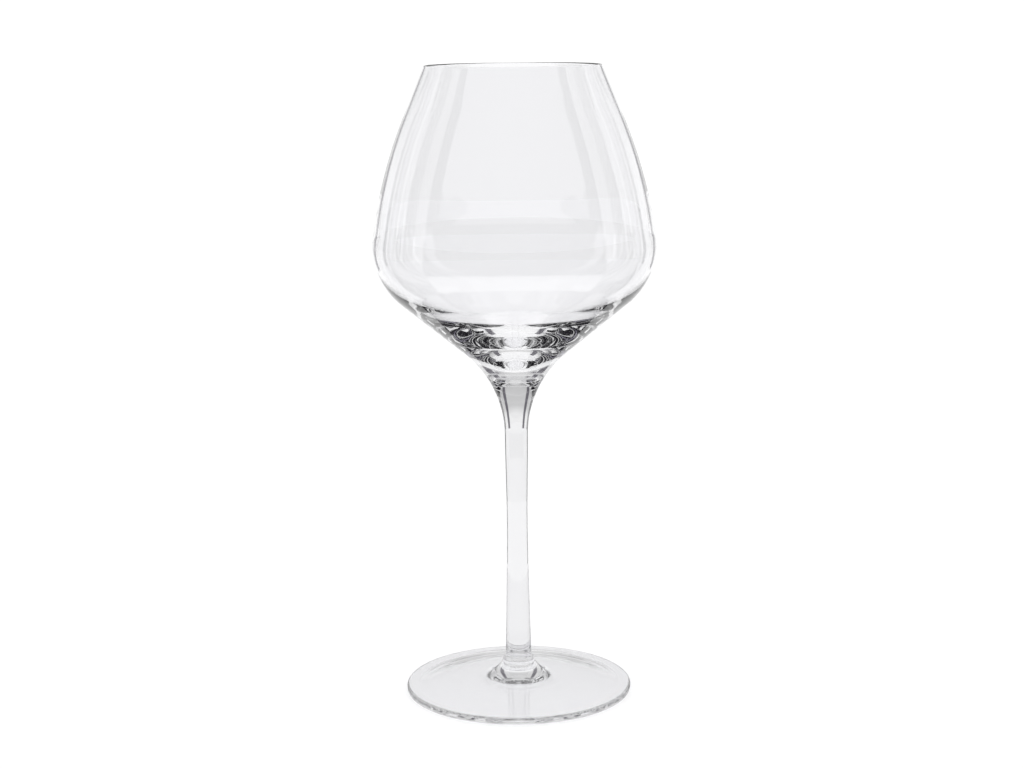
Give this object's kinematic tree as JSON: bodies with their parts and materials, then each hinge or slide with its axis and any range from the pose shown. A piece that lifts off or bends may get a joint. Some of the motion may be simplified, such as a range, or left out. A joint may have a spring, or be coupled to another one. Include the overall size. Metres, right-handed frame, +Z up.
{
  "type": "stemmed wine glass",
  "caption": "Stemmed red-wine glass: round thin-walled bowl narrowing to a smooth rim, on a slim solid stem, a small fused collar and a shallow conical foot.",
  "frame": {"origin": "centre of the ring under the foot that the glass stands on, at table level", "axes": "+Z up along the glass's axis, from the foot to the rim; X and Y are level and any turn about Z is the same"},
  "size_m": [0.1019, 0.102, 0.23],
  "materials": {
    "bowl_crystal": "fire-polished",
    "stem_crystal": "fire-polished",
    "foot_crystal": "fire-polished"
  },
  "bodies": {
    "root": {"bowl": "bowl_crystal", "stem": "stem_crystal", "joint_collar": "stem_crystal", "foot": "foot_crystal"}
  },
  "joints": []
}
